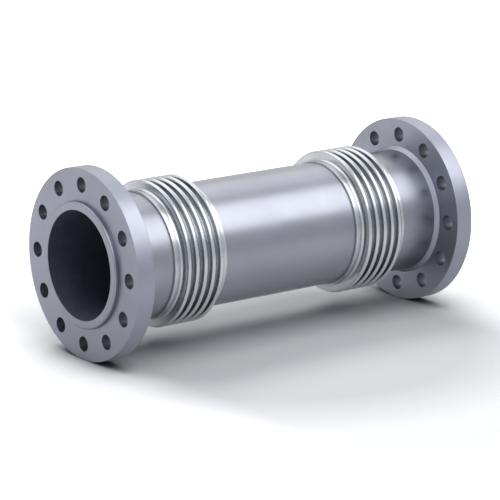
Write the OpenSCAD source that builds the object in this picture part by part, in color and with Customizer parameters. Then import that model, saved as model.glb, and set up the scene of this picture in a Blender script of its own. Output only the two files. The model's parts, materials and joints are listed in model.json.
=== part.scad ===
// Universal expansion joint: two corrugated bellows joined by a centre pipe,
// with a flanged pipe end on each side. Each flange is a flat plate, welded
// on its pipe, whose end stands out a little in front of the plate and is
// the sealing face. The pipe axis is Z. The joint stands on the face of its
// lower pipe end, and that face's centre is the origin. One bolt hole of
// each flange lies on the +X side.

/* [Overall] */
// Length from one flange plate's outer face to the other's
face_to_face = 904; // [880:1:1100]
// Distance between the middles of the two bellows
bellows_spacing = 489; // [400:1:500]

/* [Pipe] */
// Outside diameter of the pipes
pipe_od = 273; // [266:0.5:274]
// Wall of the pipes
pipe_wall = 18.25; // [8:0.25:24]
// How far each pipe end stands out in front of its flange plate
end_stand = 9.6; // [6:0.2:14]
// Rounding of a pipe end's outer edge
end_round = 4; // [1:0.25:5]
// Rounding of the bore's mouth
mouth_round = 1.2; // [0.4:0.1:3]

/* [Flange] */
// Outside diameter of the flange plate
flange_od = 415; // [400:1:460]
// Thickness of the flange plate
flange_thickness = 41; // [25:0.5:50]
// Rounding of the flange plate's rims
flange_round = 1.5; // [0.5:0.25:4]
// Radial gap between a pipe and the flange plate on it
seat_gap = 0.3; // [0.3:0.05:0.6]
// How far the weld behind the plate reaches outwards from the pipe
weld_rise = 8.75; // [4:0.25:12]
// How far the weld reaches along the pipe from the plate
weld_length = 8; // [4:0.25:12]

/* [Bolt holes] */
// How far the bolt circle lies outside the middle between pipe and rim
bolt_shift = 0.5; // [-2:0.25:4]
// Number of bolt holes in each flange
bolt_count = 12; // [8:1:16]
// Diameter of each bolt hole
bolt_hole_d = 33; // [22:0.5:36]

/* [Bellows] */
// Number of convolutions in each bellows
convolutions = 5; // [3:1:6]
// Distance from one convolution to the next
pitch = 21; // [19:0.25:24]
// How far the convolutions stand out from the cuffs
convolution_depth = 21.7; // [16:0.1:30]
// Width of each convolution at its crest
crest_width = 10; // [8:0.25:12]
// Wall of the bellows
bellows_wall = 1.5; // [1:0.1:2.5]
// Length of the plain cuff at each end of a bellows
cuff_length = 15; // [12:0.5:20]
// Radial gap between a pipe end and the cuff that it carries
cuff_gap = 0.3; // [0.3:0.05:0.6]
// How far a pipe end stops short of its cuff's inner end
pipe_setback = 3; // [1:0.5:6]

/* [Collars] */
// Wall of the collar rings on the cuffs
collar_wall = 2.2; // [1.5:0.1:5]
// Length of each collar ring
collar_length = 12; // [6:0.5:12]
// Radial gap between a cuff and its collar ring
collar_gap = 0.3; // [0.3:0.05:0.6]
// Rounding of the collar rings' outer rims
collar_round = 0.8; // [0.2:0.1:1]

/* [Hidden] */
$fn = 96;

pipe_r = pipe_od / 2;
bore_r = pipe_r - pipe_wall;
flange_r = flange_od / 2;
seat_r = pipe_r + seat_gap;
bolt_circle_r = (pipe_r + flange_r) / 2 + bolt_shift;
overall = face_to_face + 2 * end_stand;
middle = overall / 2;

// Height of the lower plate's back, from the pipe end's face up
plate_top = end_stand + flange_thickness;
middle_of_plate = end_stand + flange_thickness / 2;

// Half the crest's width is its arc, and half the gap is the root's arc
crest_arc = crest_width / 2;
root_arc = (pitch - crest_width) / 2;
cuff_r = pipe_r + cuff_gap + bellows_wall;
root_centre_r = cuff_r + root_arc;
crest_r = cuff_r + convolution_depth;

// Heights from a bellows' own middle
first_crest = -pitch * (convolutions - 1) / 2;
first_root = first_crest - pitch / 2;
bellows_half = -first_root + cuff_length;

lower_middle = middle - bellows_spacing / 2;
pipe_end = -first_root + pipe_setback;
collar_r = cuff_r + collar_gap;

// Places the children, drawn for the lower half, on the upper half
module on_top() {
    translate([0, 0, overall]) mirror([0, 0, 1]) children();
}

// Section of a ring: a rectangle whose corners are rounded on chosen sides
module ring_section(inner, outer, low, high, low_round, high_round) {
    difference() {
        translate([inner, low]) square([outer - inner, high - low]);
        if (low_round > 0) outer_corner(outer, low, low_round, 1);
        if (high_round > 0) outer_corner(outer, high, high_round, -1);
    }
}

// What is cut from an outer corner to round it: inward says which way the
// ring lies from the corner
module outer_corner(outer, height, size, inward) {
    centre = [outer - size, height + inward * size];
    difference() {
        translate([outer - size, min(height, height + inward * size)])
            square([2 * size, size]);
        translate(centre) circle(size);
    }
}

// Section of the flange: the plate and the weld behind it
module flange_section() {
    ring_section(seat_r, flange_r, end_stand, plate_top, flange_round, flange_round);
    polygon([
        [seat_r, middle_of_plate], [pipe_r + weld_rise, middle_of_plate],
        [pipe_r + weld_rise, plate_top], [seat_r, plate_top + weld_length]
    ]);
}

// What is cut from the bore's mouth to round it
module mouth_corner() {
    difference() {
        translate([bore_r - mouth_round, -mouth_round])
            square([2 * mouth_round, 2 * mouth_round]);
        translate([bore_r + mouth_round, mouth_round]) circle(mouth_round);
    }
}

module bolt_holes() {
    for (k = [0:bolt_count - 1])
        rotate([0, 0, k * 360 / bolt_count])
            translate([bolt_circle_r, 0, end_stand - 1])
                cylinder(d = bolt_hole_d, h = flange_thickness + 2);
}

module flange() {
    difference() {
        rotate_extrude() flange_section();
        bolt_holes();
    }
}

module pipe(low, high) {
    rotate_extrude()
        translate([bore_r, low]) square([pipe_wall, high - low]);
}

// A pipe end runs from its face, through the flange plate, into the cuff
module end_pipe() {
    rotate_extrude() difference() {
        ring_section(bore_r, pipe_r, 0, lower_middle - pipe_end, end_round, 0);
        mouth_corner();
    }
}

// The area inside a corrugated wall, up to its surface or, with a skin, up
// to that far below the surface. The height is counted from the middle.
module corrugated_area(skin, over) {
    difference() {
        translate([0, first_root]) square([root_centre_r, -2 * first_root]);
        for (k = [0:convolutions])
            translate([root_centre_r, first_root + k * pitch]) circle(root_arc + skin);
    }
    for (k = [0:convolutions - 1])
        translate([0, first_crest + k * pitch]) crest_area(skin);
    translate([0, -bellows_half - over])
        square([cuff_r - skin, 2 * (bellows_half + over)]);
}

// One fin of the corrugated area, with a round crest
module crest_area(skin) {
    half = crest_arc - skin;
    translate([0, -half]) square([crest_r - crest_arc, 2 * half]);
    translate([crest_r - crest_arc, 0]) circle(half);
}

module bellows() {
    rotate_extrude() difference() {
        corrugated_area(0, 0);
        corrugated_area(bellows_wall, 1);
    }
}

// A collar ring around a cuff, with its lower end at the given height
module collar(low) {
    rotate_extrude()
        ring_section(collar_r, collar_r + collar_wall, low, low + collar_length, collar_round, collar_round);
}

module lower_flange() {
    color([0.56, 0.57, 0.62]) flange();
}

module upper_flange() {
    color([0.56, 0.57, 0.62]) on_top() flange();
}

module lower_end_pipe() {
    color([0.58, 0.59, 0.64]) end_pipe();
}

module upper_end_pipe() {
    color([0.58, 0.59, 0.64]) on_top() end_pipe();
}

module centre_pipe() {
    color([0.58, 0.59, 0.64]) pipe(lower_middle + pipe_end, overall - lower_middle - pipe_end);
}

module lower_bellows() {
    color([0.78, 0.80, 0.80]) translate([0, 0, lower_middle]) bellows();
}

module upper_bellows() {
    color([0.78, 0.80, 0.80]) on_top() translate([0, 0, lower_middle]) bellows();
}

module lower_outer_collar() {
    color([0.74, 0.76, 0.77]) collar(lower_middle - bellows_half);
}

module lower_inner_collar() {
    color([0.74, 0.76, 0.77]) collar(lower_middle + bellows_half - collar_length);
}

module upper_outer_collar() {
    color([0.74, 0.76, 0.77]) on_top() collar(lower_middle - bellows_half);
}

module upper_inner_collar() {
    color([0.74, 0.76, 0.77]) on_top() collar(lower_middle + bellows_half - collar_length);
}

lower_flange();
lower_end_pipe();
lower_outer_collar();
lower_bellows();
lower_inner_collar();
centre_pipe();
upper_inner_collar();
upper_bellows();
upper_outer_collar();
upper_end_pipe();
upper_flange();
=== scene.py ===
# %% [markdown]
# A universal expansion joint is a straight run of pipe that can bend at two
# places. Near each end a bellows, rolled from thin stainless sheet, joins a
# short flanged pipe end to a plain centre pipe. This lesson dresses the
# measured model: it turns the two bellows anew, with true arcs in their
# section, keeps the other pieces as they were measured, and gives each
# metal its own finish.

# %% Load the measured model
import json
import math

import bmesh
import bpy
from mathutils import Matrix, Vector


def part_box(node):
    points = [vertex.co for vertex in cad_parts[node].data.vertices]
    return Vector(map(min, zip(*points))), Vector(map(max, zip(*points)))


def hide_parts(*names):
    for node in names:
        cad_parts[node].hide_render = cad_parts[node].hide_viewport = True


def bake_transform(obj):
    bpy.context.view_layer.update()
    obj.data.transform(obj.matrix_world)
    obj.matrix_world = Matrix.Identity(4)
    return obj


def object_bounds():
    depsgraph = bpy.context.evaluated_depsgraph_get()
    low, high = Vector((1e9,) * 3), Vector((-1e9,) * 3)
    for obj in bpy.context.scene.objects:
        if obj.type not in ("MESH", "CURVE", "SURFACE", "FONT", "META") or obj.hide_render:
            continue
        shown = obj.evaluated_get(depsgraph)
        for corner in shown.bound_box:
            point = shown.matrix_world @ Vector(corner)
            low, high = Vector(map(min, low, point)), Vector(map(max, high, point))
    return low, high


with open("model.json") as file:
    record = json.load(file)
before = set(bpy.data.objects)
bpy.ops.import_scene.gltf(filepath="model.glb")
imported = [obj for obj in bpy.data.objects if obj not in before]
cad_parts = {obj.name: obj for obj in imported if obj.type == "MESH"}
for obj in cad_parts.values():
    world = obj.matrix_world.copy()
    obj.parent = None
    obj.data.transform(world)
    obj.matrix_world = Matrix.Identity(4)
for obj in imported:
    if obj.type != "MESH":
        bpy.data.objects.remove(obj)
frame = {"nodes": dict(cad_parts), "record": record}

cad_box = [list(corner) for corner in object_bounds()]
scene = bpy.context.scene
print("measured box in metres:", cad_box)

# %% [markdown]
# Everything else follows from the measured pieces. The record holds the
# bolt circle and the bore, and the corners of each piece give its lengths.
# The pipe axis is Z. The flange rims are the widest part, so half the box is
# the rim's radius.

# %% Sizes read from the model
MM = 0.001
mounts = {mount["name"]: mount for mount in frame["record"]["mounts"]}
bolts = mounts["lower_bolts"]["dims"]
bolt_circle_r = bolts["pcd_mm"] * MM / 2
bolt_hole_r = bolts["hole_r_mm"] * MM
bolt_count = bolts["count"]
bore_r = mounts["flow_bore"]["dims"]["r_mm"] * MM

rim_r = cad_box[1][0]
overall = cad_box[1][2]
middle = overall / 2
print("rim radius", rim_r, "overall length", overall)

# %% [markdown]
# The joint is stored standing on one flange, but the photograph shows it
# lying on its side, seen with a long lens from a little above. Its pipe axis
# points away to the right. So the camera is turned instead of the object:
# the object's +X is up in the picture, +Y goes away from the viewer, and the
# top flange comes out at the left. Heading and height are angles from the
# pipe axis and from the floor, and the lens is long enough to flatten the
# view.

# %% Camera
CAMERA_HEADING = math.radians(52.98)
CAMERA_HEIGHT = math.radians(13.99)
CAMERA_DISTANCE = 6.333
CAMERA_AIM = Vector((-0.038, 0.0142, middle))
CAMERA_LENS = 207.2
SENSOR_WIDTH = 36

level_view = Vector((0, math.sin(CAMERA_HEADING), -math.cos(CAMERA_HEADING)))
photo_up = Vector((1, 0, 0))
view_line = level_view * math.cos(CAMERA_HEIGHT) - photo_up * math.sin(CAMERA_HEIGHT)
view_side = view_line.cross(photo_up).normalized()
view_up = view_side.cross(view_line)

camera_data = bpy.data.cameras.new("camera")
camera_data.lens = CAMERA_LENS
camera_data.sensor_width = SENSOR_WIDTH
camera = bpy.data.objects.new("camera", camera_data)
scene.collection.objects.link(camera)
camera.matrix_world = Matrix.Translation(CAMERA_AIM - view_line * CAMERA_DISTANCE) @ Matrix(
    (view_side, view_up, -view_line)).transposed().to_4x4()
scene.camera = camera
print("camera stands at", [round(value, 3) for value in camera.matrix_world.translation])


# %% [markdown]
# Node trees are shorter to write with a few small helpers. One adds a node
# and sets its inputs, one makes an empty material, one mixes two tones, and
# one works out a single sum.

# %% Helpers for nodes
def add_node(tree, kind, inputs=None, **settings):
    node = tree.nodes.new(kind)
    for name, value in settings.items():
        setattr(node, name, value)
    for name, value in (inputs or {}).items():
        if isinstance(value, bpy.types.NodeSocket):
            tree.links.new(value, node.inputs[name])
        else:
            node.inputs[name].default_value = value
    return node


def new_material(name):
    material = bpy.data.materials.new(name)
    material.use_nodes = True
    tree = material.node_tree
    tree.nodes.clear()
    output = add_node(tree, "ShaderNodeOutputMaterial")
    return material, tree, output


def two_tones(tree, factor, first, second):
    return add_node(tree, "ShaderNodeMix", {"Factor": factor, "A": first, "B": second},
                    data_type="RGBA").outputs["Result"]


def math_node(tree, operation, first, second, clamped=False):
    return add_node(tree, "ShaderNodeMath", {0: first, 1: second}, operation=operation,
                    use_clamp=clamped).outputs["Value"]


# %% [markdown]
# The floor glows for the camera and in what the metal mirrors, but a floor
# that glowed for every ray would light the part from below. So each glow
# asks what kind of ray it meets. Rays that were scattered on their way to
# the metal don't count, because the light that the metal throws back on the
# floor would fill the shadow.

# %% Helpers for the studio
def add_steps(tree, value, steps):
    """Adds up ramps of a value. Each has a start, an end and how far it rises."""
    total = 0.0
    for start, end, rise in steps:
        step = add_node(tree, "ShaderNodeMapRange",
                        {"Value": value, "From Min": start, "From Max": end, "To Max": rise})
        total = math_node(tree, "ADD", step.outputs["Result"], total)
    return total


def in_metal_or_glass(tree, rays):
    shown = math_node(tree, "MAXIMUM", rays["Is Glossy Ray"], rays["Is Transmission Ray"])
    return math_node(tree, "SUBTRACT", shown, rays["Diffuse Depth"], True)


# %% [markdown]
# The floor is matt pale paper. Where a rim touches it, a thin dark line of
# painted contact shadow is added, as the soft lamps alone leave it too pale.
# Ambient occlusion finds the places that the part closes in, and the paper
# is painted dark there.

# %% Floor's paper and painted contact shadow
# painted contact shadow: its dark colour and how far from the part it reaches
FLOOR_COLOUR = (0.86, 0.87, 0.88, 1)
PAINTED_CONTACT_SHADOW = (0.10, 0.11, 0.13, 1)
CONTACT_SHADOW_REACH = 0.045
OCCLUSION_SAMPLES = 12


def openness(tree, reach, inside=False):
    """1 where nothing is within reach, and less where something closes the place in."""
    return add_node(tree, "ShaderNodeAmbientOcclusion", {"Distance": reach},
                    samples=OCCLUSION_SAMPLES, inside=inside).outputs["AO"]


def paper_with_painted_shadow(tree):
    # painted shadow: the paper turns dark where the part is close
    contact_shaded = two_tones(tree, openness(tree, CONTACT_SHADOW_REACH), PAINTED_CONTACT_SHADOW, FLOOR_COLOUR)
    return add_node(tree, "ShaderNodeBsdfDiffuse", {"Color": contact_shaded}).outputs["BSDF"]


# %% [markdown]
# The lamps light the floor a little under white, which keeps its soft
# shadow, and a glow brings the rest up to the photograph's white. What the
# camera sees of it grows away from the shadow's middle and past both ends of
# the part, and fades close to the part. What the metal mirrors grows with
# the depth, both towards the viewer and away, so the floor under the joint
# stays dark in the pipes.

# %% Floor's glow
SHADOW_MIDDLE = (-rim_r, -0.14, middle + 0.05)
GLOW_SEEN = ((0.42, 0.66, 0.3), (0.8, 2.0, 0.7))
GLOW_PAST_ENDS = ((0.38, 0.50, 0.26),)
GLOW_REACH = 0.1
GLOW_FADE = 2.0
GLOW_IN_METAL = ((0.0, -0.3, 0.22), (0.1, 1.0, 0.5))
LEAST_IN_METAL = 0.12


def glow_for_camera(tree, place, parts):
    away = add_node(tree, "ShaderNodeVectorMath", {0: place, 1: SHADOW_MIDDLE},
                    operation="DISTANCE")
    along = math_node(tree, "ABSOLUTE", math_node(tree, "SUBTRACT", parts["Z"], middle), 0.0)
    grown = math_node(tree, "ADD", add_steps(tree, away.outputs["Value"], GLOW_SEEN),
                      add_steps(tree, along, GLOW_PAST_ENDS))
    unshaded = math_node(tree, "POWER", openness(tree, GLOW_REACH), GLOW_FADE)
    return math_node(tree, "MULTIPLY", grown, unshaded)


def glow_for_metal(tree, parts):
    return math_node(tree, "ADD", add_steps(tree, parts["Y"], GLOW_IN_METAL), LEAST_IN_METAL)


def floor_glow(tree):
    rays = add_node(tree, "ShaderNodeLightPath").outputs
    place = add_node(tree, "ShaderNodeTexCoord").outputs["Object"]
    parts = add_node(tree, "ShaderNodeSeparateXYZ", {"Vector": place}).outputs
    seen = math_node(tree, "MULTIPLY", rays["Is Camera Ray"], glow_for_camera(tree, place, parts))
    mirrored = math_node(tree, "MULTIPLY", in_metal_or_glass(tree, rays),
                         glow_for_metal(tree, parts))
    strength = math_node(tree, "ADD", seen, mirrored)
    return add_node(tree, "ShaderNodeEmission", {"Strength": strength}).outputs["Emission"]


# %% [markdown]
# The floor stands upright in the model's own axes, so it is one-sided: from
# behind it is clear, and the other views look through it. At some poses the
# upper flange leans below it. Ambient occlusion that looks to the floor's
# inner side finds what is there, and the floor is clear over it.

# %% Where the floor is clear
BELOW_REACH = 0.3
NOTHING_BELOW = 0.98
CLEAR_FROM = 0.85


def floor_clearness(tree):
    behind = add_node(tree, "ShaderNodeNewGeometry").outputs["Backfacing"]
    sunk = add_node(tree, "ShaderNodeMapRange",
                    {"Value": openness(tree, BELOW_REACH, inside=True),
                     "From Min": NOTHING_BELOW, "From Max": CLEAR_FROM})
    return math_node(tree, "MAXIMUM", behind, sunk.outputs["Result"])


def make_floor_material():
    material, tree, output = new_material("studio_floor")
    lit = add_node(tree, "ShaderNodeAddShader", {0: paper_with_painted_shadow(tree), 1: floor_glow(tree)})
    clear = add_node(tree, "ShaderNodeBsdfTransparent")
    one_sided = add_node(tree, "ShaderNodeMixShader",
                         {0: floor_clearness(tree), 1: lit.outputs["Shader"],
                          2: clear.outputs["BSDF"]})
    tree.links.new(one_sided.outputs["Shader"], output.inputs["Surface"])
    return material


# %% [markdown]
# The floor itself is one large face. It is turned upright and moved until it
# touches the rims of both flanges.

# %% Floor
FLOOR_SIZE = 40.0
UPRIGHT = Matrix.Rotation(math.pi / 2, 3, "Y")


def make_floor():
    shape = bmesh.new()
    bmesh.ops.create_grid(shape, x_segments=1, y_segments=1, size=FLOOR_SIZE / 2)
    bmesh.ops.rotate(shape, verts=shape.verts, cent=(0, 0, 0), matrix=UPRIGHT)
    bmesh.ops.translate(shape, verts=shape.verts, vec=(-rim_r, 0, middle))
    mesh = bpy.data.meshes.new("studio_floor")
    shape.to_mesh(mesh)
    shape.free()
    mesh.materials.append(make_floor_material())
    floor = bpy.data.objects.new("studio_floor", mesh)
    scene.collection.objects.link(floor)
    return floor


studio_floor = make_floor()
print("floor faces", tuple(round(v, 2) for v in studio_floor.data.polygons[0].normal))


# %% [markdown]
# Satin metal shows its surroundings more than its colour, so two softboxes
# are placed by what the pipe should reflect, and light the metal alone. The
# key one stands on the viewer's side. Its lower edge is some 28 degrees
# above the horizon and draws the crisp lower edge of the bright band along
# the pipe. The top one, beyond the joint, is paler and lights the pipe's top.
# Two others light the floor alone, where they draw the shadow: one over the
# joint, and a narrow one behind it, so the shadow falls towards the viewer.
# One pair for both would wash out the shadow or lose the bright band.
# Heights and headings are in degrees. A lamp's brightness as the metal sees
# it is its power over pi times its area.

# %% Lamps
def add_softbox(name, height, heading, distance, width, length, brightness,
                colour=(1, 1, 1)):
    lamp = bpy.data.lights.new(name, "AREA")
    lamp.shape = "RECTANGLE"
    lamp.size = length
    lamp.size_y = width
    lamp.energy = brightness * math.pi * width * length
    lamp.color = colour
    holder = bpy.data.objects.new(name, lamp)
    scene.collection.objects.link(holder)
    lift, turn = math.radians(height), math.radians(heading)
    away = (photo_up * math.sin(lift)
            + Vector((0, -math.cos(turn), math.sin(turn))) * math.cos(lift))
    along = Vector((0, math.sin(turn), math.cos(turn)))
    across = along.cross(-away).normalized()
    centre = Vector((0, 0, middle)) + away * distance
    holder.matrix_world = Matrix.Translation(centre) @ Matrix(
        (along, across, away)).transposed().to_4x4()
    return holder


key_softbox = add_softbox("key_softbox", height=51.7, heading=-12, distance=4.0,
                          width=3.45, length=8.0, brightness=2.52)
top_softbox = add_softbox("top_softbox", height=121, heading=0, distance=4.0,
                          width=3.2, length=10.0, brightness=0.93, colour=(0.97, 0.98, 1.0))
over_softbox = add_softbox("over_softbox", height=68, heading=0, distance=3.5,
                           width=4.0, length=4.0, brightness=1.35)
back_softbox = add_softbox("back_softbox", height=125, heading=-18, distance=4.5,
                           width=1.5, length=6.0, brightness=3.8)
for metal_lamp in (key_softbox, top_softbox):
    metal_lamp.visible_diffuse = False
for floor_lamp in (over_softbox, back_softbox):
    floor_lamp.visible_glossy = False
    floor_lamp.visible_camera = False

# %% [markdown]
# The camera sees a white surround. The metal mirrors the same white from
# behind the joint, and a cooler and darker tone from the viewer's side. As a
# light the surround is a dark grey, so that it doesn't flatten the shadow.

# %% Surround
SURROUND_WHITE = (1, 1, 1, 1)
SURROUND_FRONT = (0.77, 0.80, 0.84, 1)
SURROUND_GREY = (0.165, 0.173, 0.20, 1)
WHITE_BEYOND = 0.6
FRONT_BEFORE = -0.2


def make_surround():
    world = bpy.data.worlds.new("studio_surround")
    scene.world = world
    world.use_nodes = True
    tree = world.node_tree
    tree.nodes.clear()
    rays = add_node(tree, "ShaderNodeLightPath").outputs
    direction = add_node(tree, "ShaderNodeTexCoord").outputs["Generated"]
    depth = add_node(tree, "ShaderNodeSeparateXYZ", {"Vector": direction}).outputs["Y"]
    front = add_node(tree, "ShaderNodeMapRange",
                     {"Value": depth, "From Min": WHITE_BEYOND, "From Max": FRONT_BEFORE})
    tone = two_tones(tree, front.outputs["Result"], SURROUND_WHITE, SURROUND_FRONT)
    mirrored = add_node(tree, "ShaderNodeBackground", {"Color": tone})
    grey = add_node(tree, "ShaderNodeBackground", {"Color": SURROUND_GREY})
    white = add_node(tree, "ShaderNodeBackground", {"Color": SURROUND_WHITE})
    for_metal = add_node(tree, "ShaderNodeMixShader",
                         {0: in_metal_or_glass(tree, rays), 1: grey.outputs["Background"],
                          2: mirrored.outputs["Background"]})
    for_camera = add_node(tree, "ShaderNodeMixShader",
                          {0: rays["Is Camera Ray"], 1: for_metal.outputs["Shader"],
                           2: white.outputs["Background"]})
    output = add_node(tree, "ShaderNodeOutputWorld")
    tree.links.new(for_camera.outputs["Shader"], output.inputs["Surface"])
    return world


surround = make_surround()
scene.view_settings.view_transform = "Standard"
print("surround:", surround.name)


# %% [markdown]
# All the metals vary in slow blotches and in a fine grain. Both come from
# noise that reads the piece's own coordinates in metres, so a pattern stays
# on the metal when the joint bends. Most of a noise lies near its middle,
# which is spread over the range that a finish needs.

# %% Helpers for finishes
NOISE_LOW, NOISE_HIGH = 0.3, 0.7


def noise(tree, scale, detail=3.0, stretch=(1, 1, 1)):
    place = add_node(tree, "ShaderNodeTexCoord").outputs["Object"]
    mapping = add_node(tree, "ShaderNodeMapping", {"Vector": place, "Scale": stretch})
    texture = add_node(tree, "ShaderNodeTexNoise",
                       {"Vector": mapping.outputs["Vector"], "Scale": scale, "Detail": detail})
    return texture.outputs["Fac"]


def spread(tree, value, low, high):
    ranged = add_node(tree, "ShaderNodeMapRange",
                      {"Value": value, "From Min": NOISE_LOW, "From Max": NOISE_HIGH,
                       "To Min": low, "To Max": high})
    return ranged.outputs["Result"]


def metal_shader(tree, colour, rough, relief, strength, distance, metallic=1.0):
    bump = add_node(tree, "ShaderNodeBump",
                    {"Strength": strength, "Distance": distance, "Height": relief})
    return add_node(tree, "ShaderNodeBsdfPrincipled",
                    {"Base Color": colour, "Metallic": metallic, "Roughness": rough,
                     "Normal": bump.outputs["Normal"]}).outputs["BSDF"]


# %% [markdown]
# The flanges and pipes are machined and blasted steel with a blue-grey satin
# surface: a metal with a middling roughness, a slow change of tone as from
# handling, and a grain so fine that it only softens the highlight. The
# turned flanges also carry faint rings round the axis, which come from the
# distance to the Z axis.

# %% Satin surface
def axis_distance(tree):
    place = add_node(tree, "ShaderNodeTexCoord").outputs["Object"]
    flat = add_node(tree, "ShaderNodeVectorMath", {0: place, 1: (1, 1, 0)}, operation="MULTIPLY")
    radius = add_node(tree, "ShaderNodeVectorMath", {0: flat.outputs["Vector"]},
                      operation="LENGTH")
    return radius.outputs["Value"]


def radius_rings(tree, rings_per_metre):
    turns = math_node(tree, "MULTIPLY", axis_distance(tree), rings_per_metre * math.tau)
    return math_node(tree, "SINE", turns, 0.0)


def satin_shader(tree, dark, light, rough, rings_per_metre):
    blotch = spread(tree, noise(tree, scale=9.0), 0.0, 1.0)
    grain = noise(tree, scale=1400.0, detail=1.0)
    if rings_per_metre:
        grain = math_node(tree, "ADD", grain, radius_rings(tree, rings_per_metre))
    return metal_shader(tree, two_tones(tree, blotch, dark, light),
                        spread(tree, noise(tree, scale=22.0, detail=2.0), *rough),
                        grain, strength=0.05, distance=0.0002)


# %% [markdown]
# The bolt holes are painted darker than the plate, a painted shade for the
# shade inside them, and they are duller, as drilled. The holes belong to the
# flange's mesh, so the material finds them by itself: a place is in a hole
# when it is no farther than the hole's radius from the nearest point that
# divides the bolt circle evenly.

# %% Bolt holes with painted shade
EDGE_MARGIN = 0.3 * MM
# painted shade: the colours of the hole walls, darker than the plate
HOLE_SHADE_DARK = (0.150, 0.156, 0.182, 1)
HOLE_SHADE_LIGHT = (0.220, 0.228, 0.262, 1)
DRILLED_ROUGH = 0.5


def shaded_hole_shader(tree):
    feed = noise(tree, scale=300.0, detail=2.0, stretch=(0.1, 0.1, 1))
    return metal_shader(tree, two_tones(tree, feed, HOLE_SHADE_DARK, HOLE_SHADE_LIGHT), DRILLED_ROUGH,
                        feed, strength=0.1, distance=0.0002)


def in_bolt_hole(tree):
    place = add_node(tree, "ShaderNodeTexCoord").outputs["Object"]
    across = add_node(tree, "ShaderNodeSeparateXYZ", {"Vector": place}).outputs
    step = math.tau / bolt_count
    angle = math_node(tree, "ARCTAN2", across["Y"], across["X"])
    turned = math_node(tree, "FLOORED_MODULO", math_node(tree, "ADD", angle, step / 2), step)
    from_hole = math_node(tree, "COSINE", math_node(tree, "SUBTRACT", turned, step / 2), 0.0)
    radius = axis_distance(tree)
    squares = math_node(tree, "ADD", math_node(tree, "MULTIPLY", radius, radius),
                        bolt_circle_r ** 2)
    shared = math_node(tree, "MULTIPLY", math_node(tree, "MULTIPLY", radius, from_hole),
                       2 * bolt_circle_r)
    return math_node(tree, "LESS_THAN", math_node(tree, "SUBTRACT", squares, shared),
                     (bolt_hole_r + EDGE_MARGIN) ** 2)


# %% [markdown]
# The bore's wall is painted nearly black with a blue cast, a painted shade
# for the deep bore. It has a dull sheen, and it is found by its distance to the axis.

# %% Painted shade in the bore
# painted shade: the colours of the bore's wall, nearly black
BORE_SHADE_DARK = (0.058, 0.068, 0.096, 1)
BORE_SHADE_LIGHT = (0.082, 0.096, 0.130, 1)
BORE_ROUGH = (0.45, 0.65)


def bore_shade_shader(tree):
    blotch = spread(tree, noise(tree, scale=25.0, detail=5.0), 0.0, 1.0)
    return metal_shader(tree, two_tones(tree, blotch, BORE_SHADE_DARK, BORE_SHADE_LIGHT),
                        spread(tree, noise(tree, scale=120.0), *BORE_ROUGH),
                        noise(tree, scale=500.0, detail=4.0),
                        strength=0.15, distance=0.0004, metallic=0.2)


def in_bore(tree):
    return math_node(tree, "LESS_THAN", axis_distance(tree), bore_r + EDGE_MARGIN)


# %% [markdown]
# Each steel joins its satin outside to the painted shade of its bore or its
# bolt holes. The end pipes are a little rougher than the centre pipe, which
# keeps the plates that they mirror soft.

# %% The steels
PLATE_DARK = (0.275, 0.282, 0.327, 1)
PLATE_LIGHT = (0.306, 0.313, 0.365, 1)
PIPE_DARK = (0.262, 0.268, 0.304, 1)
PIPE_LIGHT = (0.293, 0.299, 0.339, 1)
PLATE_RINGS = 900.0
NO_RINGS = 0.0


def satin_steel(name, dark, light, rough, rings_per_metre, inside, is_inside):
    material, tree, output = new_material(name)
    both = add_node(tree, "ShaderNodeMixShader",
                    {0: is_inside(tree),
                     1: satin_shader(tree, dark, light, rough, rings_per_metre),
                     2: inside(tree)})
    tree.links.new(both.outputs["Shader"], output.inputs["Surface"])
    return material


flange_steel = satin_steel("flange_steel", PLATE_DARK, PLATE_LIGHT, (0.40, 0.45), PLATE_RINGS,
                           shaded_hole_shader, in_bolt_hole)
pipe_steel = satin_steel("pipe_steel", PIPE_DARK, PIPE_LIGHT, (0.31, 0.35), NO_RINGS,
                         bore_shade_shader, in_bore)
end_steel = satin_steel("end_steel", PIPE_DARK, PIPE_LIGHT, (0.34, 0.38), NO_RINGS,
                        bore_shade_shader, in_bore)
print("made", flange_steel.name, pipe_steel.name, "and", end_steel.name)


# %% [markdown]
# The bellows and the collars on them are bright rolled stainless steel. The
# rolls leave fine lines that run round the piece, so the noise is stretched:
# it changes quickly along the axis and hardly at all around it.

# %% Bright stainless
BELLOWS_DARK = (0.468, 0.484, 0.504, 1)
BELLOWS_LIGHT = (0.528, 0.544, 0.564, 1)
COLLAR_DARK = (0.435, 0.447, 0.468, 1)
COLLAR_LIGHT = (0.495, 0.507, 0.528, 1)


def bright_stainless(name, dark, light, rough):
    material, tree, output = new_material(name)
    blotch = spread(tree, noise(tree, scale=14.0), 0.0, 1.0)
    rolled = noise(tree, scale=900.0, detail=2.0, stretch=(0.02, 0.02, 1))
    shader = metal_shader(tree, two_tones(tree, blotch, dark, light),
                          spread(tree, rolled, *rough), rolled, strength=0.04, distance=0.0002)
    tree.links.new(shader, output.inputs["Surface"])
    return material


bellows_steel = bright_stainless("bellows_steel", BELLOWS_DARK, BELLOWS_LIGHT, (0.21, 0.27))
collar_steel = bright_stainless("collar_steel", COLLAR_DARK, COLLAR_LIGHT, (0.24, 0.30))
print("made", bellows_steel.name, "and", collar_steel.name)


# %% [markdown]
# A bellows is a turned shape: a pen draws half of its section in the XZ
# plane, and a full spin turns it round the pipe axis. The pen's tip is a
# vertex. A straight stroke extrudes it, and an arc spins it about a point of
# the section.

# %% The pen and the lathe
ACROSS = Vector((0, 1, 0))
MERGE_DISTANCE = 1e-6
TURNS = 180


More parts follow.
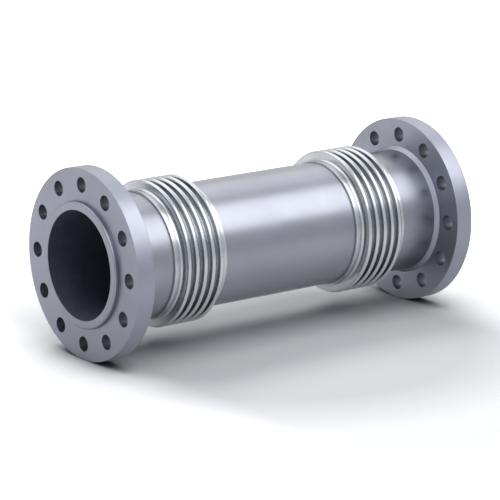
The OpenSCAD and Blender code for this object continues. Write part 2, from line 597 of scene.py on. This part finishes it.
class Pen:
    def __init__(self, radius, height):
        self.shape = bmesh.new()
        self.tip = self.shape.verts.new((radius, 0, height))

    def line_to(self, radius, height):
        made = bmesh.ops.extrude_vert_indiv(self.shape, verts=[self.tip])
        self.tip = made["verts"][0]
        self.tip.co = (radius, 0, height)

    def arc(self, centre_r, centre_z, degrees, steps):
        """Turns the tip about a point of the section, from +Z towards +X if positive."""
        made = bmesh.ops.spin(self.shape, geom=[self.tip], cent=(centre_r, 0, centre_z),
                              axis=ACROSS, angle=math.radians(degrees), steps=steps)
        self.tip = [part for part in made["geom_last"]
                    if isinstance(part, bmesh.types.BMVert)][0]

    def turn(self, name, steps):
        drawn = self.shape.verts[:] + self.shape.edges[:]
        bmesh.ops.spin(self.shape, geom=drawn, cent=(0, 0, 0), axis=(0, 0, 1),
                       angle=math.tau, steps=steps, use_merge=True)
        bmesh.ops.remove_doubles(self.shape, verts=self.shape.verts, dist=MERGE_DISTANCE)
        bmesh.ops.recalc_face_normals(self.shape, faces=self.shape.faces)
        mesh = bpy.data.meshes.new(name)
        self.shape.to_mesh(mesh)
        self.shape.free()
        mesh.shade_smooth()
        piece = bpy.data.objects.new(name, mesh)
        scene.collection.objects.link(piece)
        return piece


print("a turned piece has", TURNS, "steps")


# %% [markdown]
# A bellows is rolled from a thin tube, so its section is a line of round
# crests and roots joined by straight walls, with a plain cuff at each end.
# A zigzag with bevelled corners would come close, but the real section is
# made of true arcs, and the pen draws those as they are. The wall is one
# sheet thick and comes from a Solidify modifier, which leaves the outside
# where the lathe put it.

# %% Bellows
CONVOLUTIONS = 5
PITCH = 21 * MM
CREST_WIDTH = 10 * MM
BELLOWS_WALL = 1.5 * MM
CUFF_LENGTH = 15 * MM
CUFF_GAP = 0.3 * MM
ARC_STEPS = 10


def make_bellows(node):
    low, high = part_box(node)
    crest_arc = CREST_WIDTH / 2
    root_arc = (PITCH - CREST_WIDTH) / 2
    crest_centre_r = high[0] - crest_arc
    cuff_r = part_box("centre_pipe")[1][0] + CUFF_GAP + BELLOWS_WALL
    root_centre_r = cuff_r + root_arc
    root = low[2] + CUFF_LENGTH

    pen = Pen(cuff_r, low[2])
    pen.line_to(cuff_r, root)
    pen.arc(root_centre_r, root, 90, ARC_STEPS // 2)
    for k in range(CONVOLUTIONS):
        crest = root + PITCH / 2
        pen.line_to(crest_centre_r, crest - crest_arc)
        pen.arc(crest_centre_r, crest, -180, ARC_STEPS)
        root = root + PITCH
        pen.line_to(root_centre_r, root - root_arc)
        if k < CONVOLUTIONS - 1:
            pen.arc(root_centre_r, root, 180, ARC_STEPS)
    pen.arc(root_centre_r, root, 90, ARC_STEPS // 2)
    pen.line_to(cuff_r, high[2])

    piece = pen.turn(node + "_shell", TURNS)
    wall = piece.modifiers.new("sheet", "SOLIDIFY")
    wall.thickness = BELLOWS_WALL
    wall.offset = -1
    wall.use_even_offset = True
    piece.data.materials.append(bellows_steel)
    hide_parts(node)
    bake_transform(piece)
    return piece


lower_bellows = make_bellows("lower_bellows")
upper_bellows = make_bellows("upper_bellows")
print("bellows sections have", len(lower_bellows.data.vertices) // TURNS,
      "and", len(upper_bellows.data.vertices) // TURNS, "points")


# %% [markdown]
# The measured flanges, pipes and collars already have their true form, so
# they stay and only take their finish.

# %% Finishes for the measured pieces
FINISHES = {"flange": flange_steel, "centre_pipe": pipe_steel, "end_pipe": end_steel,
            "collar": collar_steel}


def finish_measured_pieces():
    for name in frame["nodes"]:
        node = bpy.data.objects.get(name)
        for word, material in FINISHES.items():
            if node is not None and name.endswith(word):
                node.data.materials.clear()
                node.data.materials.append(material)
                print(name, "takes", material.name)


finish_measured_pieces()
